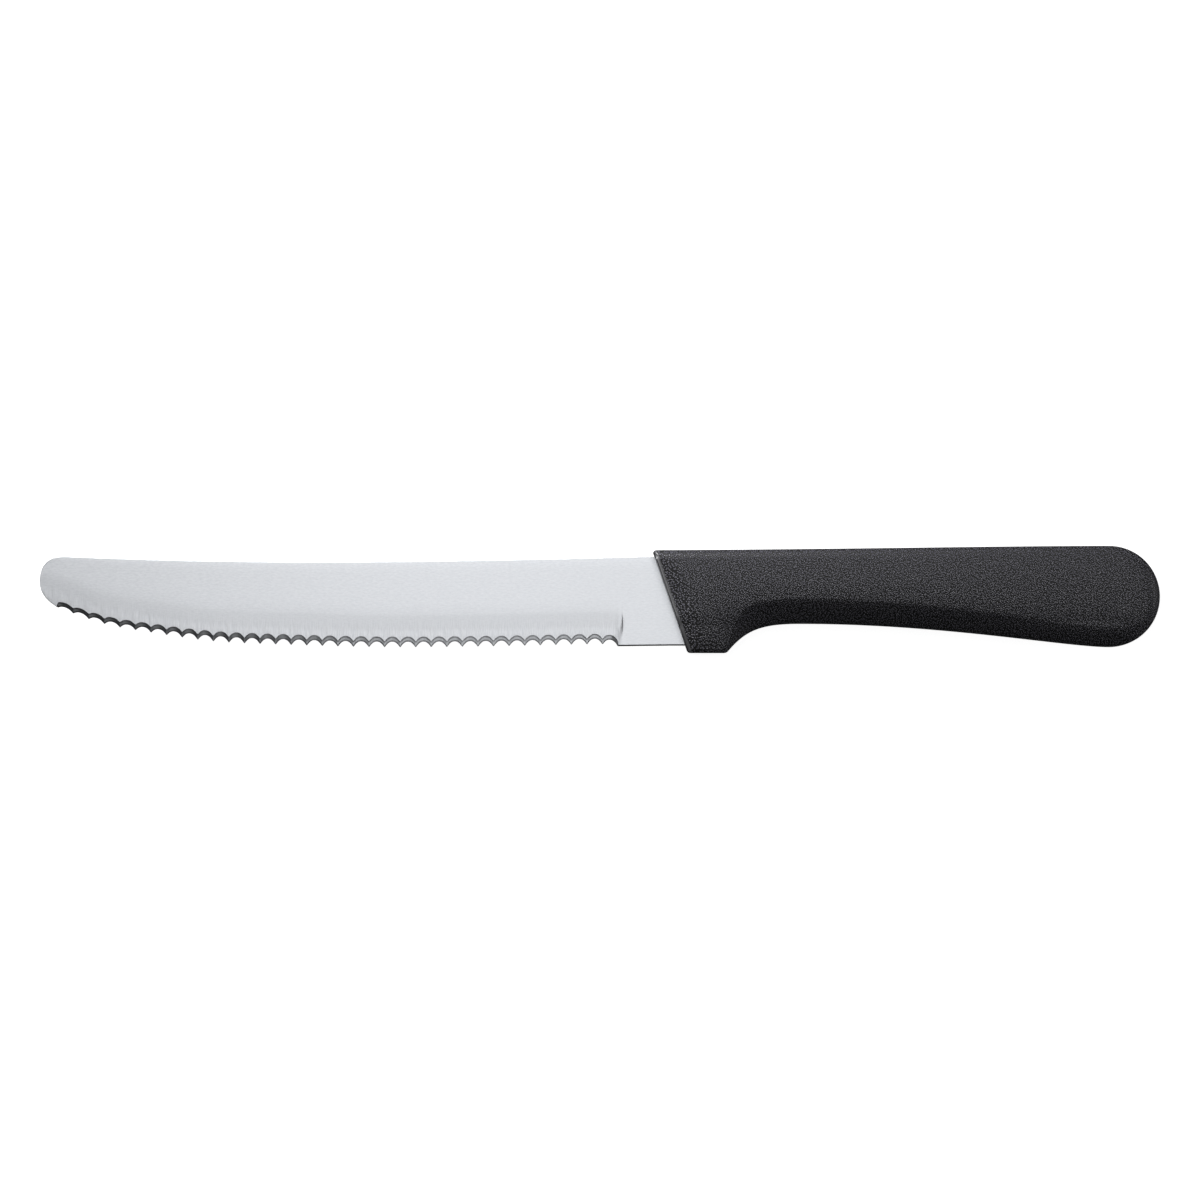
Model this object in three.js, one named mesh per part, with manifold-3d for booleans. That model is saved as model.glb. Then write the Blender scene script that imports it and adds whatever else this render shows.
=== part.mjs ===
// A serrated steak knife lying on its side: a stamped stainless blade with a hidden tang, and a
// moulded plastic handle. Millimetres. X runs from the tip to the butt, Y from the cutting edge to
// the back, and Z up, towards the side that carries the ground bevels. The origin is in the middle
// of the knife's length and depth, on the surface that the knife lies on.
import * as THREE from 'three';
import { mergeVertices } from 'three/addons/utils/BufferGeometryUtils.js';
import Module from 'manifold-3d';

// Knife
const bladeLength = 127;       // tip to the handle's front, on the knife's centre line
const handleLength = 98.5;     // handle's front to the end of the butt, on the centre line
const frontSlant = 19.1;       // degrees that the handle's front leans from square
const clearance = 0.3;         // space round the tang, inside the handle
const overrun = 2;             // how far a cutting body reaches past what it cuts

// Blade
const bladeThickness = 1;
const edgeStep = 1.5;          // how far the handle stands past the blade at the edge
const spineStep = 1.4;         // and at the back
const ricassoLength = 10.5;    // unsharpened stretch, from the heel to the handle's front
const spineHollow = 1.26;      // dip of the long curve along the blade's back
const spineCurveShares = [[0.38, 1.1], [0.68, 1.56]];     // along the back from the handle, dip
const noseTopShare = [0.0395, 0.996];                     // share of length from the tip, of depth
const noseFrontShare = [0, 0.72];
const noseFullnessShare = 0.66;
const noseUnderShares = [[0, 0.51], [0.54, 0.8]];         // across and down, nose to first tooth
const edgeShares = [                                      // share of length from the tip, of depth
  [0.0284, 0.434], [0.1014, 0.252], [0.176, 0.153], [0.2776, 0.05],
  [0.4013, 0.009], [0.549, -0.016], [0.7203, -0.006], [0.89, 0.0185],
];
const heelShare = -0.0068;     // the heel hangs a little below the edge's line at the handle

// Ground edge
const scallopPitch = 3.15;     // from one tooth's point to the next
const scallopDepth = 1.08;
const scallopTipDepth = 0.56;  // the first scallops are shallower
const scallopRunIn = 30;       // length of edge over which they deepen
const toothLand = 0.16;        // blunt width of each point
const bevelTipAngle = 38;      // degrees between the scallops' ground faces and the blade's side
const bevelHeelAngle = 29;     // which lean over towards the heel, where the sheet is thinner
const grindWidth = 6.7;        // height of the thinned band above the edge
const grindTipDrop = 0.3;      // metal taken off one side at the edge, near the tip
const grindDrop = 0.64;        // and along the rest of the blade
const grindRunIn = 90;         // length of edge over which it deepens
const plungeLength = 1.75;     // where the thinned band runs out, at the heel
const plungePlace = 0.6;       // how far in front of the heel it starts to rise
const plungeSquareness = 4;    // 2 is a quarter circle, and more is closer to a square corner
const scallopSteps = 10;
const grindSteps = 36;
const plungeSteps = 8;

// Tang
const shoulderPlace = 7.2;     // behind the handle's front, where the blade narrows to the tang
const tangLength = 76;         // from the shoulder to the tang's round end
const tangRootDepth = 10.8;
const tangEndDepth = 9;
const tangRootHeight = 2.6;    // middle of the tang above the knife's centre line, at the shoulder
const tangEndHeight = 1.2;     // and at its far end
const tangHoleRadius = 2.4;
const tangHoleShares = [0.26, 0.72];

// Handle
const handleThickness = 13;
const guardDepth = 20.75;      // from the guard's underside to the back, at the front
const backRise = 0.85;         // how much higher the back lies at the butt
const guardLength = 7.4;       // straight underside of the guard
const gripDepth = 15.1;        // least depth, at the neck of the grip
const neckPlace = 26.2;        // behind the handle's front
const buttRadius = 10.2;
const notchAngle = 50;         // degrees that the guard's rear face climbs
const notchFullnessShare = 0.4;
const neckFullnessShare = 0.52;
const bellyFullnessShares = [0.46, 0.14];
const backCurveShares = [[0.25, 0], [0.6, 0.85]];         // along the back from the butt, fall
const frontTopRadius = 0.6;
const frontLowRadius = 0.8;
const guardCornerRadius = 0.9;
const backRound = 2;           // width of the rounding along the back, seen from the side
const backRoundDrop = 2.4;     // and how far down the handle's side it reaches
const guardRound = 0.85;
const guardRoundDrop = 3.2;
const fingerRound = 5;
const fingerRoundDrop = 5.4;
const rimWidth = 0.8;          // smooth leaning front face
const rimHeight = 5.8;         // half the thickness at the top of that face
const rampLength = 3.3;        // shoulder that rises from the rim to the full thickness
const rampFadeShare = 2.4;     // length over which that shoulder dies out, in ramp lengths
const roundSteps = 8;

const wasm = await Module();
wasm.setup();

const radians = THREE.MathUtils.degToRad;
const lerp = THREE.MathUtils.lerp;
const vector = (x, y) => new THREE.Vector2(x, y);

// Heights above the knife's centre line, which halves its whole depth.
const guardBottom = -(guardDepth + backRise) / 2;
const frontTop = guardBottom + guardDepth;
const buttTop = frontTop + backRise;
const edgeBase = guardBottom + edgeStep;
const spineBase = frontTop - spineStep;
const heelDepth = spineBase - edgeBase;
const heel = vector(-ricassoLength, edgeBase + heelShare * heelDepth);
const frontX = (height) => -height * Math.tan(radians(frontSlant));

function solidOf(geometry) {
  // A closed mesh that can be cut. Only positions are kept, so that shared corners merge.
  const bare = geometry.clone();
  bare.deleteAttribute('normal');
  bare.deleteAttribute('uv');
  const merged = mergeVertices(bare);
  const vertProperties = new Float32Array(merged.attributes.position.array);
  const triVerts = new Uint32Array(merged.index.array);
  return new wasm.Manifold(new wasm.Mesh({ numProp: 3, vertProperties, triVerts }));
}

function meshOf(solid, name, material) {
  const { vertProperties, triVerts } = solid.getMesh();
  const geometry = new THREE.BufferGeometry();
  geometry.setAttribute('position', new THREE.BufferAttribute(vertProperties, 3));
  geometry.setIndex(new THREE.BufferAttribute(triVerts, 1));
  geometry.computeVertexNormals();
  const mesh = new THREE.Mesh(geometry, material);
  mesh.name = name;
  return mesh;
}

function loft(rings, flatten) {
  // A skin over rings of equally many points. Each ring turns anticlockwise, seen from the last
  // ring's side, and flatten gives a ring's points in its own plane so that the ends can be closed.
  const count = rings[0].length;
  const positions = rings.flat().flatMap((point) => point.toArray());
  const faces = [];
  for (let ring = 0; ring + 1 < rings.length; ring += 1) {
    for (let i = 0; i < count; i += 1) {
      const a = ring * count + i;
      const b = ring * count + (i + 1) % count;
      faces.push(a, b, b + count, a, b + count, a + count);
    }
  }
  const last = (rings.length - 1) * count;
  for (const [a, b, c] of THREE.ShapeUtils.triangulateShape(rings[0].map(flatten), [])) {
    faces.push(a, c, b);
  }
  for (const [a, b, c] of THREE.ShapeUtils.triangulateShape(rings.at(-1).map(flatten), [])) {
    faces.push(last + a, last + b, last + c);
  }
  const geometry = new THREE.BufferGeometry();
  geometry.setAttribute('position', new THREE.Float32BufferAttribute(positions, 3));
  geometry.setIndex(faces);
  return geometry;
}

function plate(shape, halfThickness) {
  // A flat sheet of a given outline, lying half above and half below the middle plane.
  const options = { depth: 2 * halfThickness, bevelEnabled: false, curveSegments: 40 };
  const geometry = new THREE.ExtrudeGeometry(shape, options);
  return geometry.translate(0, 0, -halfThickness);
}

// The blade's outline points are shares of its length from the tip and of its depth at the heel.
const bladePoint = ([along, up]) => vector((along - 1) * bladeLength, edgeBase + up * heelDepth);
const noseTop = bladePoint(noseTopShare);
const noseFront = bladePoint(noseFrontShare);
const edgePoints = [...edgeShares.map(bladePoint), heel];
const firstTooth = edgePoints[0];
const edgeLine = new THREE.SplineCurve(edgePoints);
const scallopCount = Math.round((heel.x - firstTooth.x) / scallopPitch);

function edgeAt(share) {
  // A point of the edge line at a share of the way from the first tooth to the heel, along X.
  const x = lerp(firstTooth.x, heel.x, share);
  let near = 0;
  let far = 1;
  for (let halving = 0; halving < 30; halving += 1) {
    const middle = (near + far) / 2;
    if (edgeLine.getPoint(middle).x < x) near = middle;
    else far = middle;
  }
  return vector(x, edgeLine.getPoint(near).y);
}

function addTang(path, growth) {
  // The hidden end of the blade's sheet: square shoulders, tapering sides and a round end. Growth
  // widens it all round, for the pocket in the handle that it sits in.
  const shoulder = shoulderPlace + growth;
  const end = shoulderPlace + tangLength - tangEndDepth / 2;
  const rootHalf = tangRootDepth / 2 + growth;
  const endHalf = tangEndDepth / 2 + growth;
  path.lineTo(shoulder, edgeBase - growth);
  path.lineTo(shoulder, tangRootHeight - rootHalf);
  path.lineTo(end, tangEndHeight - endHalf);
  path.absarc(end, tangEndHeight, endHalf, -Math.PI / 2, Math.PI / 2, false);
  path.lineTo(shoulder, tangRootHeight + rootHalf);
  path.lineTo(shoulder, spineBase + growth);
}

function tangHoles(radius) {
  return tangHoleShares.map((share) => {
    const x = shoulderPlace + share * tangLength;
    const y = lerp(tangRootHeight, tangEndHeight, share);
    return new THREE.Path().absarc(x, y, radius, 0, 2 * Math.PI, false);
  });
}

function bladeBlank() {
  // The stamped sheet, with metal left below the edge for the scallops to be ground out of.
  const shape = new THREE.Shape();
  const spineStart = vector(frontX(spineBase), spineBase);
  const [spineNear, spineFar] = spineCurveShares.map(([along, dip]) => vector(
    lerp(spineStart.x, noseTop.x, along), lerp(spineStart.y, noseTop.y, along) - dip * spineHollow));
  const full = noseFullnessShare;
  const [underNear, underFar] = noseUnderShares.map(([across, down]) => vector(
    lerp(noseFront.x, firstTooth.x, across), lerp(noseFront.y, firstTooth.y, down)));
  shape.moveTo(spineStart.x, spineStart.y);
  shape.bezierCurveTo(spineNear.x, spineNear.y, spineFar.x, spineFar.y, noseTop.x, noseTop.y);
  shape.bezierCurveTo(lerp(noseTop.x, noseFront.x, full), noseTop.y,
    noseFront.x, lerp(noseFront.y, noseTop.y, full), noseFront.x, noseFront.y);
  shape.bezierCurveTo(underNear.x, underNear.y, underFar.x, underFar.y, firstTooth.x, firstTooth.y);
  for (let i = 0; i < scallopCount; i += 1) {
    const crown = edgeAt((i + 0.5) / scallopCount);
    shape.lineTo(crown.x, crown.y - overrun);
  }
  shape.lineTo(heel.x, heel.y);
  addTang(shape, 0);
  shape.holes = tangHoles(tangHoleRadius);
  return solidOf(plate(shape, bladeThickness / 2));
}

function scallopCutter() {
  // What the leaning wheels grind away: below a row of hollows on the far side, and the same row
  // moved towards the back of the blade, step by step, on the way to the near side. The wheels
  // lean over a little more towards the heel.
  const bevelSlope = (x) => {
    const share = THREE.MathUtils.inverseLerp(firstTooth.x, heel.x, x);
    const angle = lerp(bevelTipAngle, bevelHeelAngle, THREE.MathUtils.clamp(share, 0, 1));
    return 1 / Math.tan(radians(angle));
  };
  const shape = new THREE.Shape();
  shape.moveTo(firstTooth.x - overrun, firstTooth.y - overrun);
  for (let i = 0; i < scallopCount; i += 1) {
    const from = edgeAt(i / scallopCount);
    const to = edgeAt((i + 1) / scallopCount);
    const landShare = toothLand / (to.x - from.x);
    const runIn = Math.min(1, (from.x - firstTooth.x) / scallopRunIn);
    const depth = lerp(scallopTipDepth, scallopDepth, runIn);
    for (let step = 0; step <= scallopSteps; step += 1) {
      const across = 2 * step / scallopSteps - 1;
      const point = from.clone().lerp(to, (1 + across * (1 - landShare)) / 2);
      shape.lineTo(point.x, point.y + depth * (1 - across * across));
    }
  }
  const bottom = heel.y - 2 * overrun - bladeThickness * bevelSlope(heel.x);
  shape.lineTo(heel.x, heel.y);
  shape.lineTo(heel.x, bottom);
  shape.lineTo(firstTooth.x - overrun, bottom);
  const geometry = plate(shape, bladeThickness / 2 + overrun);
  const position = geometry.attributes.position;
  for (let i = 0; i < position.count; i += 1) {
    const lift = (position.getZ(i) + bladeThickness / 2) * bevelSlope(position.getX(i));
    position.setY(i, position.getY(i) + lift);
  }
  return solidOf(geometry);
}

function grindCutter() {
  // A wedge along the edge that thins the near side to a taper. It cuts deeper away from the tip,
  // and rises out of the metal in a squarish round plunge at the heel.
  const face = bladeThickness / 2;
  const deepest = grindDrop + overrun * grindDrop / grindWidth;
  const section = (x, edgeHeight, drop, lift) => {
    const slope = drop / grindWidth;
    const low = edgeHeight - overrun;
    const high = edgeHeight + grindWidth + overrun;
    return [
      new THREE.Vector3(x, low, face - drop - overrun * slope + lift),
      new THREE.Vector3(x, high, face + overrun * slope + lift),
      new THREE.Vector3(x, low, face + overrun + lift),
    ];
  };
  const rings = [];
  const start = edgeLine.getTangent(0);
  const reach = firstTooth.x - noseFront.x + overrun;
  const beyond = firstTooth.clone().addScaledVector(start, -reach / start.x);
  rings.push(section(beyond.x, beyond.y, grindTipDrop, 0));
  for (let i = 0; i < grindSteps; i += 1) {
    const point = edgeAt(i / grindSteps);
    const runIn = Math.min(1, (point.x - firstTooth.x) / grindRunIn);
    rings.push(section(point.x, point.y, lerp(grindTipDrop, grindDrop, runIn), 0));
  }
  for (let i = 0; i <= plungeSteps; i += 1) {
    const share = i / plungeSteps;
    const lift = deepest * (1 - (1 - share ** plungeSquareness) ** (1 / plungeSquareness));
    rings.push(section(heel.x - plungePlace + share * plungeLength, heel.y, grindDrop, lift));
  }
  return solidOf(loft(rings, (point) => vector(point.y, point.z)));
}

function makeBlade() {
  const satinSteel = new THREE.MeshStandardMaterial({ color: '#d3d6da', roughness: 0.35, metalness: 1 });
  const solid = bladeBlank().subtract(grindCutter()).subtract(scallopCutter());
  return meshOf(solid, 'blade', satinSteel);
}

function handleOutline() {
  // Points round the handle's outline, anticlockwise, each with the way that the rounded border
  // leads inwards from it and the depth of that rounding.
  const slant = radians(frontSlant);
  const cornerX = (height, radius) => frontX(height) + radius / Math.cos(slant);
  const arc = (x, y, radius, from, to) => new THREE.EllipseCurve(x, y, radius, radius, from, to);
  const frontFacing = Math.PI + slant;

  const topY = frontTop - frontTopRadius;
  const topX = cornerX(topY, frontTopRadius);
  const topCorner = arc(topX, topY, frontTopRadius, Math.PI / 2, frontFacing);
  const lowY = guardBottom + frontLowRadius;
  const lowX = cornerX(lowY, frontLowRadius);
  const lowCorner = arc(lowX, lowY, frontLowRadius, frontFacing, 1.5 * Math.PI);
  const front = new THREE.LineCurve(topCorner.getPoint(1), lowCorner.getPoint(0));

  const guardEnd = vector(frontX(guardBottom) + guardLength, guardBottom);
  const guard = new THREE.LineCurve(lowCorner.getPoint(1), guardEnd);
  const climb = radians(notchAngle);
  const guardCorner = arc(guardEnd.x, guardBottom + guardCornerRadius, guardCornerRadius,
    -Math.PI / 2, climb - Math.PI / 2);

  const neckBack = lerp(frontTop, buttTop, neckPlace / handleLength);
  const neck = vector(neckPlace, neckBack - gripDepth);
  const notchStart = guardCorner.getPoint(1);
  const notchReach = notchFullnessShare * (neck.x - notchStart.x);
  const notch = new THREE.CubicBezierCurve(notchStart,
    vector(notchStart.x + notchReach * Math.cos(climb), notchStart.y + notchReach * Math.sin(climb)),
    vector(lerp(neck.x, notchStart.x, neckFullnessShare), neck.y), neck);

  const buttX = handleLength - buttRadius;
  const butt = arc(buttX, buttTop - buttRadius, buttRadius, -Math.PI / 2, Math.PI / 2);
  const buttStart = butt.getPoint(0);
  const [neckReach, buttReach] = bellyFullnessShares.map((share) => share * (buttX - neck.x));
  const belly = new THREE.CubicBezierCurve(neck, vector(neck.x + neckReach, neck.y),
    vector(buttX - buttReach, buttStart.y), buttStart);

  const [backNear, backFar] = backCurveShares.map(([along, drop]) => vector(
    lerp(buttX, topX, along), lerp(buttTop, frontTop, drop)));
  const back = new THREE.CubicBezierCurve(butt.getPoint(1), backNear, backFar, topCorner.getPoint(0));

  // Each stretch has its curve, its steps and the rounding at its two ends. At the handle's front
  // the rounding leads straight down from the back, -1, or straight up from the guard, 1.
  const backEdge = { round: backRound, drop: backRoundDrop };
  const guardEdge = { round: guardRound, drop: guardRoundDrop };
  const fingerEdge = { round: fingerRound, drop: fingerRoundDrop };
  const stretches = [
    [front, 12, backEdge, guardEdge, [-1, 1]],
    [lowCorner, 4, guardEdge, guardEdge, [1, 1]],
    [guard, 8, guardEdge, guardEdge],
    [guardCorner, 5, guardEdge, guardEdge],
    [notch, 18, guardEdge, fingerEdge],
    [belly, 20, fingerEdge, fingerEdge],
    [butt, 30, fingerEdge, backEdge],
    [back, 40, backEdge, backEdge],
    [topCorner, 4, backEdge, backEdge, [-1, -1]],
  ];
  return stretches.flatMap(([curve, steps, start, end, upright]) => {
    const points = [];
    for (let step = 0; step < steps; step += 1) {
      const share = step / steps;
      const place = curve.getPointAt(share);
      const tangent = curve.getTangentAt(share);
      if (upright) {
        const reach = lerp(upright[0] * start.round, upright[1] * end.round, share);
        points.push({ place, inward: vector(0, reach), drop: lerp(start.drop, end.drop, share) });
      } else {
        const eased = 1 - (1 - share) ** 3;
        const inward = vector(-tangent.y, tangent.x).multiplyScalar(lerp(start.round, end.round, eased));
        points.push({ place, inward, drop: lerp(start.drop, end.drop, eased) });
      }
    }
    return points;
  });
}

function makeHandle() {
  // Rings of the outline, drawn in as they climb from the mould's parting plane to the flat side.
  const half = handleThickness / 2;
  const slotHalf = bladeThickness / 2 + clearance;
  const fade = rampFadeShare * (rimWidth + rampLength);
  const outline = handleOutline();
  const ring = (step, side) => {
    const turn = (step / roundSteps) * Math.PI / 2;
    const rampShare = Math.max(0, (step - 1) / (roundSteps - 1));
    const frontShift = step === 0 ? 0 : rimWidth + rampLength * rampShare;
    const rampRise = (half - rimHeight) * (1 - (1 - rampShare) ** 2);
    const frontHeight = step === 0 ? slotHalf : rimHeight + rampRise;
    return outline.map(({ place, inward, drop }) => {
      const behind = Math.max(0, place.x - frontX(place.y));
      const near = Math.max(0, 1 - behind / fade) ** 2;
      const x = place.x + inward.x * (1 - Math.cos(turn)) + frontShift * near;
      const y = place.y + inward.y * (1 - Math.cos(turn));
      const z = lerp(half - drop * (1 - Math.sin(turn)), frontHeight, near);
      return new THREE.Vector3(x, y, z * side);
    });
  };
  const rings = [];
  for (let step = roundSteps; step >= 0; step -= 1) {
    rings.push(ring(step, -1));
  }
  for (let step = 0; step <= roundSteps; step += 1) {
    rings.push(ring(step, 1));
  }
  const body = solidOf(loft(rings, (point) => vector(point.x, point.y)));

  // The pocket follows the tang with clearance, opens through the front, and leaves a peg of
  // plastic through each hole of the tang.
  const pocket = new THREE.Shape();
  pocket.moveTo(frontX(spineBase) - overrun, spineBase + clearance);
  pocket.lineTo(frontX(spineBase) - overrun, edgeBase - clearance);
  addTang(pocket, clearance);
  pocket.holes = tangHoles(tangHoleRadius - clearance);
  const solid = body.subtract(solidOf(plate(pocket, slotHalf)));
  const grainedPlastic = new THREE.MeshStandardMaterial({ color: '#2c2c2e', roughness: 0.6, metalness: 0 });
  return meshOf(solid, 'handle', grainedPlastic);
}

const knife = new THREE.Group();
knife.add(makeBlade(), makeHandle());
knife.position.set((bladeLength - handleLength) / 2, 0, handleThickness / 2);

export default knife;
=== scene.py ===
import bisect
import math

import bmesh
import bpy
from mathutils import Matrix, Vector
from mathutils.geometry import interpolate_bezier, intersect_point_line
from mathutils.kdtree import KDTree


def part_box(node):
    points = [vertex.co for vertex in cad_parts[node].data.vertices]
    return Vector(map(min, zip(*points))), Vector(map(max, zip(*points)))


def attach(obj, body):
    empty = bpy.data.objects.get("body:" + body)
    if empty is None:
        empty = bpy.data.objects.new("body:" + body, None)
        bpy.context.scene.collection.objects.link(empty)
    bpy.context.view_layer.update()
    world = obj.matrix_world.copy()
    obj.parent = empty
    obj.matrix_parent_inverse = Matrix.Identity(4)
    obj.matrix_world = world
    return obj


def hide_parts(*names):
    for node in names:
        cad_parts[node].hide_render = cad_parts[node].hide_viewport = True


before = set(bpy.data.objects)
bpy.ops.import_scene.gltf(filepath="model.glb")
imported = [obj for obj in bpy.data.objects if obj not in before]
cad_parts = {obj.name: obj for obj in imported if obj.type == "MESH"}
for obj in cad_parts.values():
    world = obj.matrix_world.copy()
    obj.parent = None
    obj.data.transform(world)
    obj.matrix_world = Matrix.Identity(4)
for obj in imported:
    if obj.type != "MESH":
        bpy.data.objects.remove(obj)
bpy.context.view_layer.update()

# BLADE
# One stamped sheet of stainless steel. Its sides are finished on a fine belt, and scallops are
# ground into the edge from one side. A hidden tang holds it in the handle, moulded round it.

# Lengths are in millimetres, in the knife's own frame: X from the tip to the butt, Y from the edge
# to the back, Z towards the ground side. The origin is in the middle of the handle's front.
mm = 0.001
blade_length = 127
tip_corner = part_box("blade")[0]
handle_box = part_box("handle")
knife_centre = Vector((tip_corner.x + blade_length * mm, 0, (handle_box[0].z + handle_box[1].z) / 2))
to_frame = Matrix.Translation(knife_centre) @ Matrix.Scale(mm, 4)

front_slant = math.tan(math.radians(19.1))   # the handle's front leans back towards the edge
front_place = -0.25               # of the handle's front, on the centre line
spine_base = 8.65                 # the blade's back above the centre line, where the handle starts
edge_base = -9.3                  # and its edge there
heel_depth = spine_base - edge_base
half_sheet = 0.5
corner_round = 0.06               # the stamped outline is tumbled, which breaks its corners
ricasso_chamfer = 0.3             # the unsharpened edge by the handle is chamfered instead
weld_reach = 0.0004               # points of a mesh that are closer than this become one

# The outline's places are shares of the blade's length from the tip, and of its depth at the handle
# from the edge. A curve's handles are shares of the way between its ends.
spine_hollow = 1.1                # how far the back dips between the nose and the handle
spine_curve_shares = ((0.38, 1.1), (0.68, 1.56))
nose_top_share = (0.0395, 1)
nose_front_share = (0, 0.716)
nose_fullness_share = 0.66
nose_under_shares = ((0, 0.51), (0.54, 0.8))
edge_shares = ((0.0284, 0.428), (0.1014, 0.2475), (0.176, 0.1495), (0.2776, 0.0485),
               (0.4013, 0.009), (0.549, -0.016), (0.7203, -0.006), (0.89, 0.0185))
heel_share = -0.0068
ricasso_length = 10.5

scallop_pitch = 3.15
scallop_depth = 1.08
scallop_tip_depth = 0.56
scallop_run_in = 30               # length of edge over which the scallops deepen
scallop_squareness = 2.2
tooth_land = 0.16                 # flat left between two scallops
bevel_height = (0.93, 1.05, 0.99)  # near the tip, in the middle and near the heel
bevel_height_run = 50             # length of edge over which it changes
bevel_heel_start = -60            # and where the change towards the heel begins
bevel_tip_extra = 0.16            # a bevel is taller at the teeth than in the hollows
bevel_roll_share = 0.3            # a bevel is steeper at its top and at the edge than between them
bevel_points = 13
# A bevel's depth, by its distance along the edge from the first tooth. The wheel leans over towards
# the heel, where it cuts through thinner metal.
bevel_drop = ((0, 0.75), (20, 0.55), (34, 0.455), (47, 0.35), (57, 0.295), (67, 0.265),
              (80, 0.25), (108, 0.24))
grind_width = 6.7                 # height of the thinned band above the edge
grind_drop = (0.28, 0.4, 0.54)    # metal taken off at the edge: at the tip, further on, at the heel
grind_run_in = (22, 90)           # lengths from the tip over which it deepens
grind_fullness = (1.4, 1)         # the band fades out softly at the tip, and in a line further on
grind_fullness_run_in = 56.25
plunge_start = -11.2              # the band's upper part starts to run out here
plunge_wall = -9.8                # and falls to nothing from here
plunge_end = -9.46                # to here
plunge_low_start = -13.5          # lower down, the wall starts sooner
plunge_turn_shares = (0.12, 0.62)    # heights in the band between which the wall straightens up
plunge_rise_share = 0.15

shoulder_place = 7.2              # where the blade steps down to its tang, inside the handle
shoulder_run = 0.4
tang_length = 76
tang_root = (10.8, 2.6)           # depth, and height of its middle above the centre line
tang_end = (9, 1.2)               # and the same at its round end
tang_hole_radius = 2.4
tang_hole_shares = (0.26, 0.72)


def lerp(a, b, share):
    return a + (b - a) * share


def smooth(share):
    # Eases from 0 to 1 with level ends.
    share = min(1, max(0, share))
    return share * share * (3 - 2 * share)


def front_x(height):
    return front_place - height * front_slant


def spread(start, end, steps):
    # Evenly spaced places after the start, up to the end.
    return [lerp(start, end, i / steps) for i in range(1, steps + 1)]


def curve(start, leave, arrive, end, steps=80):
    # Points along a smooth curve that is drawn towards one handle and then another on its way.
    points = [Vector((*p, 0)) for p in (start, leave, arrive, end)]
    return [p.xy for p in interpolate_bezier(*points, steps + 1)]


def height_at(line, x):
    # The height of a line, whose points run along X, at x.
    i = bisect.bisect_left(line, x, key=lambda p: p.x)
    i = min(max(i, 1), len(line) - 1)
    a, b = line[i - 1], line[i]
    share = (x - a.x) / (b.x - a.x) if b.x > a.x else 1
    return lerp(a.y, b.y, min(1, max(0, share)))


def blade_point(share):
    # A place of the outline, from its shares of the blade's length and depth.
    return Vector(((share[0] - 1) * blade_length, edge_base + share[1] * heel_depth))


nose_top = blade_point(nose_top_share)
nose_front = blade_point(nose_front_share)
heel = Vector((-ricasso_length, edge_base + heel_share * heel_depth))
edge_points = [blade_point(share) for share in edge_shares] + [heel]
first_tooth = edge_points[0]
spine_start = Vector((front_x(spine_base), spine_base))
spine_handles = [spine_start.lerp(nose_top, along) - Vector((0, dip * spine_hollow))
                 for along, dip in spine_curve_shares]
full = nose_fullness_share
nose_curve = curve(nose_front, (nose_front.x, lerp(nose_front.y, nose_top.y, full)),
                   (lerp(nose_top.x, nose_front.x, full), nose_top.y), nose_top)
back_line = nose_curve + curve(spine_start, *spine_handles, nose_top)[-2::-1]
under_handles = [(lerp(nose_front.x, first_tooth.x, across), lerp(nose_front.y, first_tooth.y, down))
                 for across, down in nose_under_shares]
nose_under = curve(nose_front, *under_handles, first_tooth)

# The edge runs smoothly through its points, and straight on past the first tooth.
edge_line = []
last_edge = len(edge_points) - 1
for i in range(last_edge):
    before, a, b, after = (edge_points[min(max(i + k, 0), last_edge)] for k in (-1, 0, 1, 2))
    edge_line += curve(a, a + (b - before) / 6, b - (after - a) / 6, b)[:-1]
edge_line.append(heel)
edge_slope = (edge_line[1].y - edge_line[0].y) / (edge_line[1].x - edge_line[0].x)


def edge_height(x):
    if x < first_tooth.x:
        return first_tooth.y + (x - first_tooth.x) * edge_slope
    return height_at(edge_line, x)


def grind_share(x, y):
    # How far the wheel has gone in along the plunge: 1 in the full band, 0 past its end. The wall
    # is short and steep at the top and starts sooner lower down.
    height = (y - edge_height(x)) / grind_width
    turn_start, turn_end = plunge_turn_shares
    wall = lerp(plunge_low_start, plunge_wall, smooth((height - turn_start) / (turn_end - turn_start)))
    rise = plunge_rise_share * smooth((x - plunge_start) / (wall - plunge_start))
    return (1 - rise) * (1 - smooth((x - wall) / (plunge_end - wall)))


bevel_line = [Vector(stop) for stop in bevel_drop]


def near_side(x, y):
    # Height of the ground side over the sheet's middle.
    height = min(1, max(0, (y - edge_height(x)) / grind_width))
    drop = lerp(*grind_drop[:2], smooth((x + blade_length) / grind_run_in[0]))
    drop = lerp(drop, grind_drop[2], smooth((x + blade_length) / grind_run_in[1]))
    fullness = lerp(*grind_fullness, smooth((x + blade_length) / grind_fullness_run_in))
    return half_sheet - drop * (1 - height) ** fullness * grind_share(x, y)


def corner(y, side, reach, level, steps=6):
    # Points round a broken corner at height y, from the flat side to the wall. Side is 1 for a
    # corner at the back and -1 at the edge, level is the flat side's place in the thickness.
    turns = [math.pi / 2 * i / steps for i in range(steps + 1)]
    inner = level - math.copysign(reach, level)
    return [(y - side * reach * (1 - math.sin(t)), inner + math.copysign(reach, level) * math.cos(t))
            for t in turns]


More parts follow.
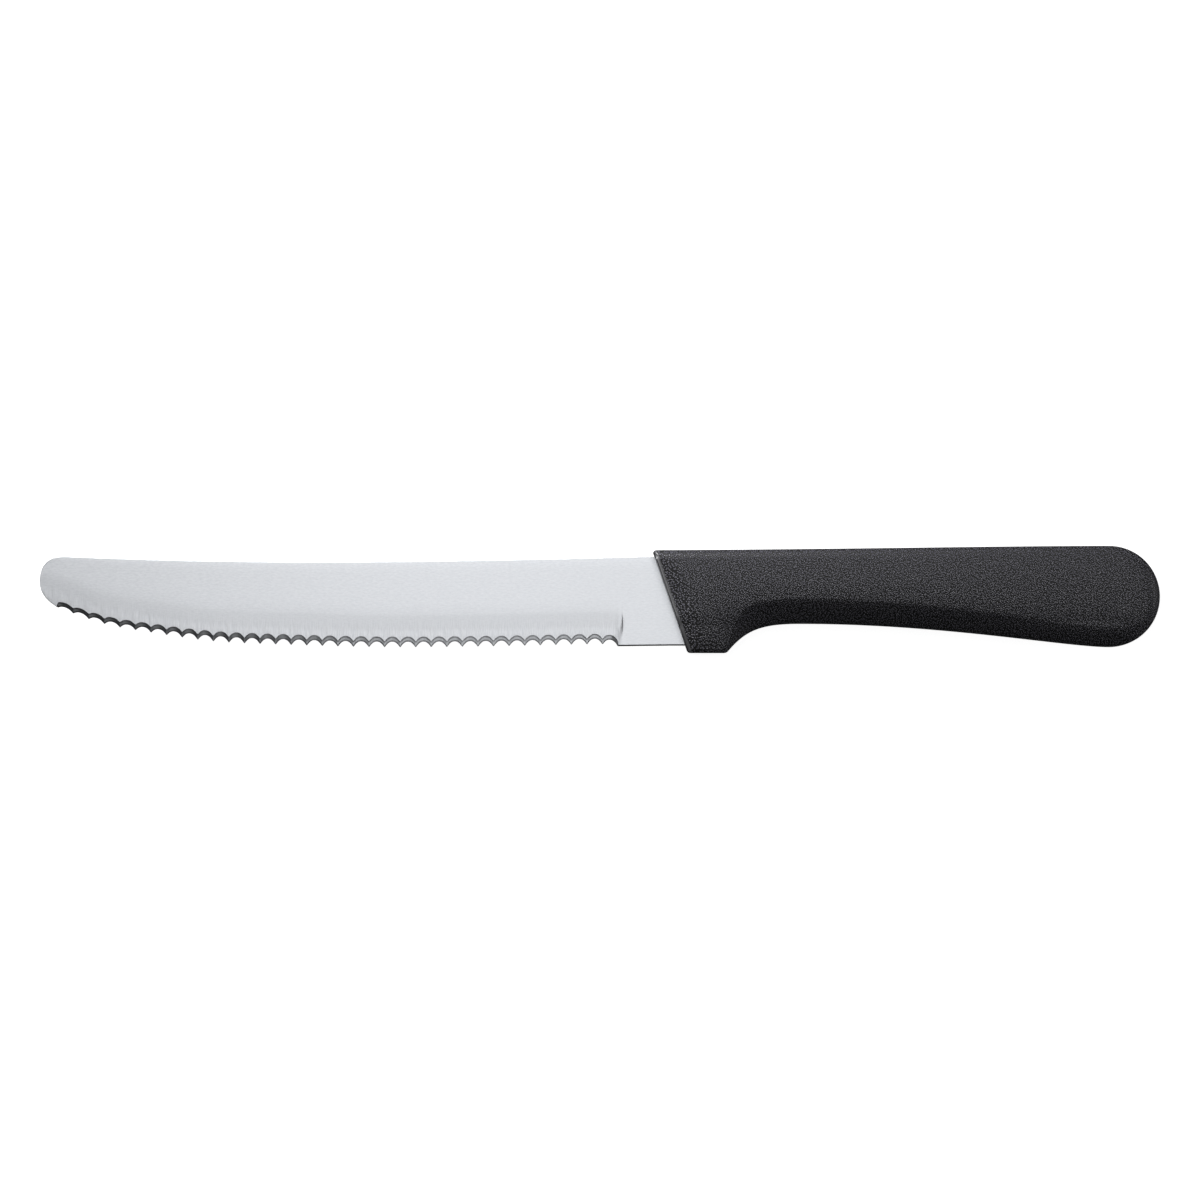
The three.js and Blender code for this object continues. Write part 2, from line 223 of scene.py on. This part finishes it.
def bottom_group(x, low, scallop):
    # The lower border from the near side to the far side. Under a scallop it is a ground bevel, and
    # scallop is then the share of the way from the scallop's middle to its teeth. Elsewhere it is a
    # square wall with broken corners, of which the near one is a flat chamfer behind the heel.
    if scallop is None:
        reach = ricasso_chamfer if x > heel.x else corner_round
        near = corner(low, -1, reach, near_side(x, low + reach))
        if x > heel.x:
            first, last, steps = Vector(near[0]), Vector(near[-1]), len(near) - 1
            near = [first.lerp(last, i / steps) for i in range(steps + 1)]
        return near + corner(low, -1, corner_round, -half_sheet)[::-1]
    upper = low + lerp(*bevel_height[:2], smooth((x - first_tooth.x) / bevel_height_run))
    upper += (bevel_height[2] - bevel_height[1]) * smooth((x - bevel_heel_start) / bevel_height_run)
    upper += bevel_tip_extra * scallop ** 2
    top = near_side(x, upper)
    foot = max(top - height_at(bevel_line, x - first_tooth.x), -half_sheet)
    points = []
    for i in range(bevel_points):
        share = i / (bevel_points - 1)
        rolled = share + bevel_roll_share * math.sin(2 * math.pi * share) / (2 * math.pi)
        points.append((lerp(upper, low, share), lerp(top, foot, rolled)))
    return points + [(low, -half_sheet)]


band_limit_shares = (0.3, 0.7)    # of the way up, between which a loop's band must end
flank_steps, band_steps, far_steps = 5, 8, 4


def section(x, high, low, scallop):
    # One closed loop round the blade at x, from the back's near corner down the ground side.
    reach = min(corner_round, (high - low) / 3)
    bottom = bottom_group(x, low, scallop)
    upper = bottom[0][0]
    band_top = edge_height(x) + grind_width
    least, most = (lerp(upper, high - reach, share) for share in band_limit_shares)
    band_top = max(min(band_top, most), least)
    near_stops = spread(high - reach, band_top, flank_steps) + spread(band_top, upper, band_steps)[:-1]
    points = corner(high, 1, reach, half_sheet)[::-1]
    points += [(y, near_side(x, y)) for y in near_stops]
    points += bottom
    points += [(y, -half_sheet) for y in spread(bottom[-1][0], high - reach, far_steps)[:-1]]
    points += corner(high, 1, reach, -half_sheet)
    return points + points[:1]


# The loops stand close together where the outline turns: round the nose, over each scallop, at the
# plunge and at the tang's shoulder and round end. Each has its place, the back's height, the edge's
# height, and its share across a scallop where there is one.
stations = []
nose_steps = 26
for i in range(nose_steps):
    x = lerp(nose_front.x, first_tooth.x, 1 - math.cos(math.pi / 2 * i / nose_steps))
    stations.append((x, height_at(back_line, x), height_at(nose_under, x), None))
scallop_count = round((heel.x - first_tooth.x) / scallop_pitch)
scallop_steps = 16
for i in range(scallop_count):
    start = lerp(first_tooth.x, heel.x, i / scallop_count)
    end = lerp(first_tooth.x, heel.x, (i + 1) / scallop_count)
    land_share = tooth_land / (end - start)
    depth = lerp(scallop_tip_depth, scallop_depth, min(1, (start - first_tooth.x) / scallop_run_in))
    for step in range(scallop_steps + 1):
        across = 2 * step / scallop_steps - 1
        x = lerp(start, end, (1 + across * (1 - land_share)) / 2)
        line = lerp(edge_height(start), edge_height(end), (x - start) / (end - start))
        low = line + depth * (1 - abs(across) ** scallop_squareness)
        stations.append((x, height_at(back_line, x), low, abs(across)))
ricasso_stops = spread(heel.x, plunge_wall, steps=7) + spread(plunge_wall, plunge_end, steps=6)
ricasso_stops += spread(plunge_end, shoulder_place, steps=20)
for x in ricasso_stops:
    high = height_at(back_line, x) if x < spine_start.x else spine_base
    low = lerp(heel.y, edge_base, (x - heel.x) / ricasso_length) if x < 0 else edge_base
    stations.append((x, high, low, None))
tang_end_radius = tang_end[0] / 2
tang_start = shoulder_place + shoulder_run
tang_turn = shoulder_place + tang_length - tang_end_radius
tang_stops = [tang_start] + spread(tang_start, tang_turn, steps=24)
tang_stops += [tang_turn + tang_end_radius * math.sin(turn) for turn in spread(0, math.pi / 2, steps=12)]
for x in tang_stops:
    share = (x - shoulder_place) / tang_length
    depth, middle = (lerp(a, b, share) for a, b in zip(tang_root, tang_end))
    round_share = max(0, x - tang_turn) / tang_end_radius
    half = depth / 2 * math.sqrt(max(0, 1 - round_share ** 2))
    stations.append((x, middle + half, middle - half, None))


def skin(columns):
    # A grid whose columns are laid along the given loops of points.
    bm = bmesh.new()
    across, along = len(columns) - 1, len(columns[0]) - 1
    bmesh.ops.create_grid(bm, x_segments=across, y_segments=along, size=1)
    for vert in bm.verts:
        column = columns[round((vert.co.x + 1) / 2 * across)]
        vert.co = column[round((vert.co.y + 1) / 2 * along)]
    return bm


def close_ends(columns):
    # Draws the first and the last loop together, so that the skin has no open end.
    for end in (0, -1):
        middle = sum(columns[end][:-1], Vector()) / (len(columns[end]) - 1)
        columns[end] = [middle.copy() for _ in columns[end]]


def weld(bm):
    # Joins points that meet, drops faces that have no area, and turns all faces outward.
    bmesh.ops.remove_doubles(bm, verts=bm.verts, dist=weld_reach)
    bmesh.ops.dissolve_degenerate(bm, edges=bm.edges, dist=weld_reach / 2)
    bmesh.ops.recalc_face_normals(bm, faces=bm.faces)


def cut(piece, cutter):
    # Takes the cutter's shape out of the piece, and leaves the result as a plain mesh.
    modifier = piece.modifiers.new("cut", "BOOLEAN")
    modifier.operation = "DIFFERENCE"
    modifier.solver = "EXACT"
    modifier.object = cutter
    bpy.context.view_layer.update()
    shaped = piece.evaluated_get(bpy.context.evaluated_depsgraph_get())
    mesh = bpy.data.meshes.new_from_object(shaped)
    piece.modifiers.clear()
    piece.data = mesh
    bpy.data.objects.remove(cutter)


def piece_from(bm, name):
    # An object at the origin, with its place in the frame in its mesh.
    bmesh.ops.transform(bm, matrix=to_frame, verts=bm.verts)
    mesh = bpy.data.meshes.new(name)
    bm.to_mesh(mesh)
    bm.free()
    piece = bpy.data.objects.new(name, mesh)
    bpy.context.scene.collection.objects.link(piece)
    return piece


def shade(piece, sharp_above):
    # Smooth shading, with edges left sharp where the faces meet at more than so many degrees.
    piece.data.shade_smooth()
    piece.data.set_sharp_from_angle(angle=math.radians(sharp_above))


def tang_studs(name, radius, length):
    # Round studs that stand through the tang's holes.
    studs = bmesh.new()
    for share in tang_hole_shares:
        middle = lerp(tang_root[1], tang_end[1], share)
        place = Matrix.Translation((shoulder_place + share * tang_length, middle, 0))
        bmesh.ops.create_cone(studs, cap_ends=True, segments=48, radius1=radius, radius2=radius,
                              depth=length, matrix=place)
    return piece_from(studs, name)


blade_columns = [[Vector((x, y, z)) for y, z in section(x, high, low, scallop)]
                 for x, high, low, scallop in stations]
close_ends(blade_columns)
blade_bm = skin(blade_columns)
weld(blade_bm)
blade = piece_from(blade_bm, "blade_scalloped")
cut(blade, tang_studs("tang_holes", tang_hole_radius, 4 * half_sheet))
shade(blade, sharp_above=22)


def linear(hex_colour):
    # An sRGB colour, such as "#8a8d90", as linear red, green, blue and alpha.
    parts = [int(hex_colour[i:i + 2], 16) / 255 for i in (1, 3, 5)]
    return [p / 12.92 if p <= 0.04045 else ((p + 0.055) / 1.055) ** 2.4 for p in parts] + [1]


def node(tree, kind, inputs=None, **settings):
    # Adds a node. An input is a number, a colour, or another node's output to link from.
    made = tree.nodes.new(kind)
    for name, value in settings.items():
        setattr(made, name, value)
    for name, value in (inputs or {}).items():
        if isinstance(value, bpy.types.NodeSocket):
            tree.links.new(value, made.inputs[name])
        else:
            made.inputs[name].default_value = value
    return made


def new_material(name):
    # A material with no nodes yet, and its tree.
    material = bpy.data.materials.new(name)
    material.use_nodes = True
    material.node_tree.nodes.clear()
    return material, material.node_tree


grit_through = 2.5                # the lines change over this much of the sheet's thickness


def grit_lines(tree, place, along, across):
    # Fine parallel lines left by grit. Each spans so many millimetres along X and along Y.
    scale = [1 / (span * mm) for span in (along, across, grit_through)]
    lines = node(tree, "ShaderNodeMapping", {"Vector": place, "Scale": scale})
    return node(tree, "ShaderNodeTexNoise", {
        "Vector": lines.outputs[0], "Scale": 1, "Detail": 3, "Roughness": 0.6}).outputs["Fac"]


def mix_numbers(tree, share, a, b):
    return node(tree, "ShaderNodeMix", {0: share, 2: a, 3: b}, data_type="FLOAT").outputs[0]


def mix_colours(tree, share, a, b):
    return node(tree, "ShaderNodeMix", {0: share, 6: a, 7: b}, data_type="RGBA").outputs[2]


def remap(tree, value, start, end, low=0, high=1):
    # Turns the range from start to end into the one from low to high, and holds it there.
    return node(tree, "ShaderNodeMapRange", {
        "Value": value, "From Min": start, "From Max": end, "To Min": low, "To Max": high}).outputs[0]


def surface(tree, colour, roughness, **inputs):
    # The material's last nodes, with the surface's own inputs by name.
    named = {name.replace("_", " "): value for name, value in inputs.items()}
    shader = node(tree, "ShaderNodeBsdfPrincipled", {"Base Color": colour, "Roughness": roughness, **named})
    node(tree, "ShaderNodeOutputMaterial", {"Surface": shader.outputs[0]})


def steel(tree, lines, colours, roughness, relief):
    # Ground stainless steel. The lines change its gloss, its tint and its height a little.
    tint = mix_colours(tree, lines, linear(colours[0]), linear(colours[1]))
    bump = node(tree, "ShaderNodeBump", {"Height": lines, "Distance": relief * mm, "Strength": 1})
    surface(tree, tint, remap(tree, lines, 0, 1, *roughness), Normal=bump.outputs[0], Metallic=1)


# Belt-finished stainless is pale, with an even sheen and no clear reflection. The belt's lines run
# along the blade and the thinning wheel's lines across it, as strong as the wheel has cut deep. Both
# are finer than a tenth of a millimetre in the real steel, and are drawn coarser here, to show.
# The attribute holds how deep the wheel has cut, as a share.
ground = blade.data.attributes.new("ground", "FLOAT", "POINT")
for vert in blade.data.vertices:
    x, y, z = (vert.co - knife_centre) / mm
    if z > -half_sheet / 2 and x < plunge_end:
        ground.data[vert.index].value = (half_sheet - near_side(x, y)) / grind_drop[2]

satin_stainless, tree = new_material("satin_stainless")
place = node(tree, "ShaderNodeTexCoord").outputs["Object"]
cut_share = node(tree, "ShaderNodeAttribute", attribute_name="ground").outputs["Fac"]
belt_lines = grit_lines(tree, place, along=0.8, across=0.28)
wheel_lines = remap(tree, grit_lines(tree, place, along=0.22, across=2), 0.22, 0.78)
lines = mix_numbers(tree, remap(tree, cut_share, 0.04, 0.5), belt_lines, wheel_lines)
steel(tree, lines, colours=("#c4c7cc", "#e7e9ec"), roughness=(0.32, 0.46), relief=0.01)

# The scallops' bevels come brighter from a profiled wheel, and mirror light and dark in turn as they
# curve. Their tint is darker than the flank's, as painted shade. Short lines run down each of them.
wheel_ground_painted_shade, tree = new_material("wheel_ground_stainless_painted_shade")
place = node(tree, "ShaderNodeTexCoord").outputs["Object"]
# The bevels' darker tint is painted shade.
steel(tree, grit_lines(tree, place, along=0.4, across=3), colours=("#b6b9bd", "#d4d6da"),
      roughness=(0.28, 0.4), relief=0.006)

blade.data.materials.append(satin_stainless)
blade.data.materials.append(wheel_ground_painted_shade)
bevel_lead = 0.5                  # the wheel's finish starts this much before the first tooth
bevel_turn = 0.2                  # a bevel's faces turn at least this much towards the edge
flat_turn = 0.985                 # and this much is as good as flat
bevel_reach = 2.3                 # no bevel reaches further above the edge's line
for face in blade.data.polygons:
    x, y, z = (face.center - knife_centre) / mm
    slanted = face.normal.y < -bevel_turn and abs(face.normal.z) < flat_turn
    if first_tooth.x - bevel_lead < x < heel.x and slanted and y < edge_height(x) + bevel_reach:
        face.material_index = 1

# The bevels end in a crisp line.
finish_of_edge = {}
for face in blade.data.polygons:
    for key in face.edge_keys:
        finish_of_edge.setdefault(key, set()).add(face.material_index)
for edge in blade.data.edges:
    if len(finish_of_edge[edge.key]) > 1:
        edge.use_edge_sharp = True
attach(blade, "root")
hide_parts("blade")

# HANDLE
# Black polypropylene, moulded in one shot round the blade's tang. The mould's spark-eroded grain
# covers it, apart from the smooth leaning face at the front where the mould closes on the blade.
handle_length = 98.5
half_handle = 6.5
guard_depth = 20.75
back_rise = 0.85                  # the back climbs this much from the front to the butt
guard_bottom = -(guard_depth + back_rise) / 2
front_top = guard_bottom + guard_depth
butt_top = front_top + back_rise
guard_length = 7.4
grip_depth = 15.1                 # at the neck, where the finger notch has levelled out
neck_place = 26.2
butt_radius = 10.2
notch_angle = math.radians(50)
notch_fullness_share = 0.4
neck_fullness_share = 0.52
belly_fullness_shares = (0.46, 0.14)
back_curve_shares = ((0.25, 0), (0.6, 0.85))
front_top_radius = 0.6
front_low_radius = 0.8
guard_corner_radius = 0.9


def arc(x, y, radius, start, end, steps=60):
    turns = [start] + spread(start, end, steps)
    return [Vector((x + radius * math.cos(t), y + radius * math.sin(t))) for t in turns]


slant = math.atan(front_slant)
top_y = front_top - front_top_radius
top_x = front_x(top_y) + front_top_radius / math.cos(slant)
low_y = guard_bottom + front_low_radius
low_x = front_x(low_y) + front_low_radius / math.cos(slant)
top_corner = arc(top_x, top_y, front_top_radius, math.pi + slant, math.pi / 2)
low_corner = arc(low_x, low_y, front_low_radius, math.pi + slant, 1.5 * math.pi)
guard_end = Vector((front_x(guard_bottom) + guard_length, guard_bottom))
guard_corner = arc(guard_end.x, guard_bottom + guard_corner_radius, guard_corner_radius,
                   -math.pi / 2, notch_angle - math.pi / 2)
neck = Vector((neck_place, lerp(front_top, butt_top, neck_place / handle_length) - grip_depth))
notch_start = guard_corner[-1]
notch_reach = notch_fullness_share * (neck.x - notch_start.x)
notch_leave = notch_start + notch_reach * Vector((math.cos(notch_angle), math.sin(notch_angle)))
notch = curve(notch_start, notch_leave, (lerp(neck.x, notch_start.x, neck_fullness_share), neck.y), neck)
butt_x = handle_length - butt_radius
butt_y = butt_top - butt_radius
belly_reach = [share * (butt_x - neck.x) for share in belly_fullness_shares]
belly = curve(neck, (neck.x + belly_reach[0], neck.y), (butt_x - belly_reach[1], butt_y - butt_radius),
              (butt_x, butt_y - butt_radius))
back_handles = [(lerp(butt_x, top_x, along), lerp(butt_top, front_top, drop))
                for along, drop in back_curve_shares]
back = curve((butt_x, butt_top), *back_handles, (top_x, front_top))[::-1]
upper_butt = arc(butt_x, butt_y, butt_radius, math.pi / 2, 0)
lower_butt = arc(butt_x, butt_y, butt_radius, -math.pi / 2, 0)

# How the handle rounds over at its border: the rounding's width, depth and fullness, and then how
# far the side's gentle crown falls at the border and how far in it reaches. The back is tight, the
# finger side slants away, and the guard keeps a small edge.
back_border = (2.0, 2.4, 2.0, 0.9, 9)
back_butt_border = (2.0, 2.4, 2.0, 1.4, 8)
butt_border = (2.3, 2.8, 2.0, 1.0, 6)
belly_border = (4.2, 5.4, 1.5, 1.4, 9)
finger_border = (5.2, 5.8, 1.45, 1.3, 9)
guard_border = (0.95, 3.2, 2.0, 1.9, 9)
side_lean = 1.0                   # how far the sides draw in towards the finger side
side_lean_start_share = 0.2       # of the way from the back to the finger side
side_rise = 0.15                  # lifts the crown back to the handle's full thickness


def border_mix(a, b, share):
    return tuple(lerp(p, q, smooth(share)) for p, q in zip(a, b))


def bordered(points, a, b, from_share=0, to_share=1):
    # Pairs each point of a stretch with its border, which changes from a to b between two shares.
    last = len(points) - 1
    return [(p, border_mix(a, b, (i / last - from_share) / (to_share - from_share)))
            for i, p in enumerate(points)]


upper_border = bordered(top_corner, back_border, back_border)
upper_border += bordered(back, back_border, back_butt_border, 0.1, 0.6)[1:]
upper_border += bordered(upper_butt, back_butt_border, butt_border)[1:]
guard_foot = [low_corner[-1].lerp(guard_corner[0], share) for share in spread(0, 1, steps=30)]
lower_border = bordered(low_corner + guard_foot + guard_corner[1:], guard_border, guard_border)
lower_border += bordered(notch, guard_border, finger_border, 0, 0.55)[1:]
lower_border += bordered(belly, finger_border, belly_border)[1:]
lower_border += bordered(lower_butt, belly_border, butt_border, 0.05, 0.6)[1:]

border = upper_border + lower_border[-2::-1]
nearest_border = KDTree(len(border))
for i, (point, _) in enumerate(border):
    nearest_border.insert((*point, 0), i)
nearest_border.balance()

rim_height = 5.95                 # the smooth front stands lower than the sides behind it
rim_round = 0.42
rim_width = 0.93                  # it ends in a small step, with the grain behind it
rim_step = 0.12
rim_step_width = 0.28
ramp_length = 3.3                 # the grain then climbs to the sides' height
ramp_rise = 0.6
join_round = 0.15                 # softens the line where two of these surfaces meet
least_span = 1e-9                 # points of the border closer than this are the same


def border_distance(place):
    # Distance to the outline, and the border's shape at the nearest point.
    _, i, _ = nearest_border.find((*place, 0))
    best = None
    for j in (i - 1, i):
        if 0 <= j < len(border) - 1:
            a, b = border[j][0], border[j + 1][0]
            if (b - a).length > least_span:
                _, share = intersect_point_line(place, a, b)
                share = min(1, max(0, share))
                distance = (a.lerp(b, share) - place).length
                if best is None or distance < best[0]:
                    shapes = zip(border[j][1], border[j + 1][1])
                    best = (distance, tuple(lerp(p, q, share) for p, q in shapes))
    return best


def side_height(place, behind, across):
    # How high the near side stands over the parting plane, at a place, behind the front, and
    # across the grip from the back.
    distance, (width, drop, fullness, crown_drop, crown_reach) = border_distance(place)
    leaning = max(0, across - side_lean_start_share) / (1 - side_lean_start_share)
    crown = crown_drop * max(0, 1 - distance / crown_reach) ** 2
    crown += side_lean * leaning ** 2 - side_rise
    inset = max(0, 1 - distance / width)
    height = half_handle - crown - (drop - crown) * (1 - (1 - inset ** fullness) ** (1 / fullness))
    rounding = max(0, 1 - behind / rim_round)
    front = rim_height * (1 - rounding ** 3) ** (1 / 3)
    front -= rim_step * smooth(1 - (rim_width - behind) / rim_step_width)
    front += max(0, behind - rim_width) * ramp_rise / ramp_length
    near = max(0, join_round - abs(height - front))
    return min(half_handle, max(0, min(height, front) - near * near / (4 * join_round)))


# Columns of points run from the finger side to the back. They stand close together over the front's
# rounding and its step, lean like the front near it, and stand square further back.
front_stops = [0, 0.004, 0.02, 0.05, 0.09, 0.14, 0.2, 0.27, 0.35, 0.42, 0.5, 0.57,
               0.64, 0.71, 0.78, 0.85, 0.92, 1.1]
front_stops += spread(front_stops[-1], 5.1, steps=20)
body_stops = spread(front_stops[-1], butt_x, steps=150)
butt_stops = [butt_x + butt_radius * math.sin(turn) for turn in spread(0, math.pi / 2, steps=34)]
lean_end, square_start = 8, 38
rows = 76
seam_width = 0.2
seam_depth = 0.06
seam_least_depth = 1              # the seam stops where the handle gets narrower than this


def crossing(border_line, stop, lean):
    # Where a column that leans with the handle's front meets the upper or lower border.
    line = [Vector((p.x - lean * front_x(p.y), p.y)) for p, _ in border_line]
    return height_at(line, stop)


handle_columns = []
for stop in front_stops + body_stops + butt_stops:
    lean = 1 - smooth((stop - lean_end) / (square_start - lean_end))
    high = crossing(upper_border, stop, lean)
    low = crossing(lower_border, stop, lean)
    if stop == butt_stops[-1]:
        high = low = butt_y
    column = []
    for row in range(rows + 1):
        y = lerp(low, high, (1 - math.cos(math.pi * row / rows)) / 2)
        x = stop + lean * front_x(y)
        on_border = row in (0, rows) or stop == butt_stops[-1]
        across = min(1, (high - y) / grip_depth * min(1, (high - low) / grip_depth))
        flat = on_border or stop == 0
        height = 0 if flat else side_height(Vector((x, y)), x - front_x(y), across)
        column.append(Vector((x, y, height)))
    if stop > 0 and high - low > seam_least_depth:
        # The seam where the mould's halves meet is a fine groove.
        inward, outward = Vector((0, seam_depth, 0)), Vector((0, 0, seam_width / 2))
        column[0:1] = [column[0] + inward, column[0] + outward]
        column[-1:] = [column[-1] + outward, column[-1] - inward]
    else:
        column[0:1] = [column[0], column[0].copy()]
        column[-1:] = [column[-1], column[-1].copy()]
    handle_columns.append(column)

handle_bm = skin(handle_columns)
weld(handle_bm)
bmesh.ops.mirror(handle_bm, geom=handle_bm.verts[:] + handle_bm.edges[:] + handle_bm.faces[:],
                 matrix=Matrix.Identity(4), merge_dist=weld_reach, axis="Z")
weld(handle_bm)
handle = piece_from(handle_bm, "handle_moulded")

# The pocket that the blade and its tang fill. Plastic pegs stand in the tang's holes.
pocket_fit = 0.02
peg_fit = 0.05
pocket_front = -8                 # the cutter starts well in front of the handle
pocket_stops = [(x, spine_base, edge_base) for x in (pocket_front, pocket_front + 0.1, shoulder_place)]
pocket_stops += [(x, high, low) for x, high, low, _ in stations if x >= tang_start]
pocket_columns = []
for x, high, low in pocket_stops:
    high, low, side = high + pocket_fit, low - pocket_fit, half_sheet + pocket_fit
    loop = [(high, side), (low, side), (low, -side), (high, -side)]
    pocket_columns.append([Vector((x, y, z)) for y, z in loop + loop[:1]])
close_ends(pocket_columns)
pocket_bm = skin(pocket_columns)
weld(pocket_bm)
pocket = piece_from(pocket_bm, "pocket")
cut(pocket, tang_studs("pegs", tang_hole_radius - peg_fit, 6 * half_sheet))
cut(handle, pocket)
shade(handle, sharp_above=50)


def behind_front(tree, place):
    # Distance behind the leaning front, along the knife.
    along = node(tree, "ShaderNodeVectorMath", {0: place, 1: (1, front_slant, 0)}, operation="DOT_PRODUCT")
    start = knife_centre.x + front_place * mm
    return node(tree, "ShaderNodeMath", {0: along.outputs["Value"], 1: start},
                operation="SUBTRACT").outputs[0]


def pebbles(tree, place, cell, randomness):
    # Distance from the crest of each pebble of the grain, in cells of so many millimetres.
    return node(tree, "ShaderNodeTexVoronoi", {
        "Vector": place, "Scale": 1 / (cell * mm), "Randomness": randomness},
        voronoi_dimensions="2D", feature="F1").outputs["Distance"]


# The black plastic's soft grey sheen is painted into its colour: a grey painted glint on each rounded
# crest of the spark-eroded grain, and painted shade, near black, in the hollows between them. The real
# grain is about 0.2 mm, and is drawn coarser here, to show. It is a little coarser again on the ramp
# behind the front. The pattern is laid on the sides, on the long walls and round the butt in turn.
moulded_black, tree = new_material("grained_polypropylene_painted_glints")
place = node(tree, "ShaderNodeTexCoord").outputs["Object"]
ramp_end = rim_width + ramp_length
on_ramp = remap(tree, behind_front(tree, place), (ramp_end + 0.3) * mm, (ramp_end - 0.3) * mm)
facing = node(tree, "ShaderNodeTexCoord").outputs["Normal"]
facing = node(tree, "ShaderNodeVectorMath", {0: facing}, operation="ABSOLUTE").outputs[0]
facing = node(tree, "ShaderNodeSeparateXYZ", {0: facing})
grains = []
for turn in ((0, 0, 0.5), (math.pi / 2, 0, 0), (0, math.pi / 2, 0)):
    turned = node(tree, "ShaderNodeMapping", {"Vector": place, "Rotation": turn}).outputs[0]
    fine = pebbles(tree, turned, cell=0.34, randomness=0.85)
    coarse = pebbles(tree, turned, cell=0.45, randomness=1)
    grains.append(mix_numbers(tree, on_ramp, fine, coarse))
# One layout blends into the next over a narrow range of the surface's turn.
on_side, on_wall, on_butt = grains
wall = mix_numbers(tree, remap(tree, facing.outputs["X"], 0.66, 0.76), on_wall, on_butt)
height = mix_numbers(tree, remap(tree, facing.outputs["Z"], 0.5, 0.6), wall, on_side)
# Painted glint and shade: the crests are tinted grey as if lit, the hollows near black as if shaded. The
# same share raises the crests and makes them glossier.
crest_and_painted_glint = remap(tree, height, 0.46, 0.2)
tint = mix_colours(tree, crest_and_painted_glint, linear("#040405"), linear("#5b5a63"))
bump = node(tree, "ShaderNodeBump", {"Height": crest_and_painted_glint, "Distance": 0.14 * mm, "Strength": 1})
surface(tree, tint, remap(tree, crest_and_painted_glint, 0, 1, 0.6, 0.3), Normal=bump.outputs[0], IOR=1.49)

# The front is polished in the mould and shines, with only a faint haze. Its shine is painted into the
# colour: a grey painted highlight on the top of the bead, and darker painted shade on its face towards the
# blade.
polished_black, tree = new_material("polished_polypropylene_painted_shine_and_shade")
place = node(tree, "ShaderNodeTexCoord").outputs["Object"]
haze = node(tree, "ShaderNodeTexNoise", {"Vector": place, "Scale": 1 / (0.8 * mm), "Detail": 3})
haze = haze.outputs["Fac"]
# Painted highlight on the top of the bead, painted shade on the face towards the blade.
painted_highlight_share = remap(tree, behind_front(tree, place), 0.26 * mm, 0.46 * mm)
painted_bead_highlight = mix_colours(tree, haze, linear("#58585a"), linear("#636365"))
tint = mix_colours(tree, painted_highlight_share, linear("#343436"), painted_bead_highlight)
surface(tree, tint, remap(tree, haze, 0, 1, 0.22, 0.36), IOR=1.55)
handle.data.materials.append(moulded_black)
handle.data.materials.append(polished_black)
for face in handle.data.polygons:
    x, y, z = (face.center - knife_centre) / mm
    if x - front_x(y) < rim_width:
        face.material_index = 1
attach(handle, "root")
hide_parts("handle")

# FLOOR
# A pale matt sheet under the knife, lit through from below, so that it is plain white round the
# knife and shows next to no shadow, as in the photograph.
floor_size = 3                    # in metres, like the places and sizes from here on
floor_gap = 0.2 * mm
floor_bm = bmesh.new()
bmesh.ops.create_grid(floor_bm, x_segments=1, y_segments=1, size=floor_size)
floor_mesh = bpy.data.meshes.new("floor")
floor_bm.to_mesh(floor_mesh)
floor_bm.free()
floor = bpy.data.objects.new("floor", floor_mesh)
floor.location.z = handle_box[0].z - floor_gap
bpy.context.scene.collection.objects.link(floor)

# Matt white card gives an even glow with no sheen.
pale_sheet, tree = new_material("pale_sheet")
surface(tree, linear("#d8d8d8"), 0.9, Emission_Color=(1, 1, 1, 1), Emission_Strength=0.88)
floor.data.materials.append(pale_sheet)
floor.visible_glossy = False
floor.visible_diffuse = False


# STUDIO LIGHT
# A large soft box hangs overhead. A bright one stands low beyond the knife's back, another low past
# the butt, and a weak one high on the side of the edge. The room adds little light of its own.
def soft_box(name, place, target, size, power):
    # A rectangular lamp that faces its target, with its power in watts.
    light = bpy.data.lights.new(name, "AREA")
    light.shape = "RECTANGLE"
    light.size, light.size_y = size
    light.energy = power
    lamp = bpy.data.objects.new(name, light)
    lamp.location = place
    lamp.rotation_euler = (Vector(target) - Vector(place)).to_track_quat("-Z", "Y").to_euler()
    lamp.visible_camera = False
    bpy.context.scene.collection.objects.link(lamp)


soft_box("overhead", (0.004, 0.08, 0.58), (0.004, 0.08, 0), (0.31, 0.62), 0.92)
soft_box("back_side", (-0.065, 0.18, 0.09), (0.03, 0, 0), (0.18, 0.09), 0.84)
soft_box("edge_side", (-0.03, -0.42, 0.38), (0, 0, 0), (0.3, 0.2), 0.05)
soft_box("butt_side", (0.5, 0.04, 0.055), (0.1, 0, 0), (0.3, 0.2), 0.75)

# Only the camera sees the room as white.
world = bpy.data.worlds.new("studio")
bpy.context.scene.world = world
world.use_nodes = True
tree = world.node_tree
tree.nodes.clear()
seen = node(tree, "ShaderNodeLightPath").outputs["Is Camera Ray"]
room = node(tree, "ShaderNodeBackground", {"Color": (1, 1, 1, 1), "Strength": 0.03})
backdrop = node(tree, "ShaderNodeBackground", {"Color": (1, 1, 1, 1), "Strength": 1})
mixed = node(tree, "ShaderNodeMixShader", {"Fac": seen, 1: room.outputs[0], 2: backdrop.outputs[0]})
node(tree, "ShaderNodeOutputWorld", {"Surface": mixed.outputs[0]})

# CAMERA
# Straight above the knife and a hair off its middle, with a long lens, so that both ends are seen
# almost square on.
frame_width = 241.7 * mm          # seen across the picture, at the height of the blade
lens = 500
camera_offset = 0.1 * mm
camera_data = bpy.data.cameras.new("photo_view")
camera_data.lens = lens
camera = bpy.data.objects.new("photo_view", camera_data)
distance = frame_width * lens / camera_data.sensor_width
camera.location = (camera_offset, -camera_offset, knife_centre.z + distance)
bpy.context.scene.collection.objects.link(camera)
bpy.context.scene.camera = camera
bpy.context.scene.view_settings.view_transform = "Standard"
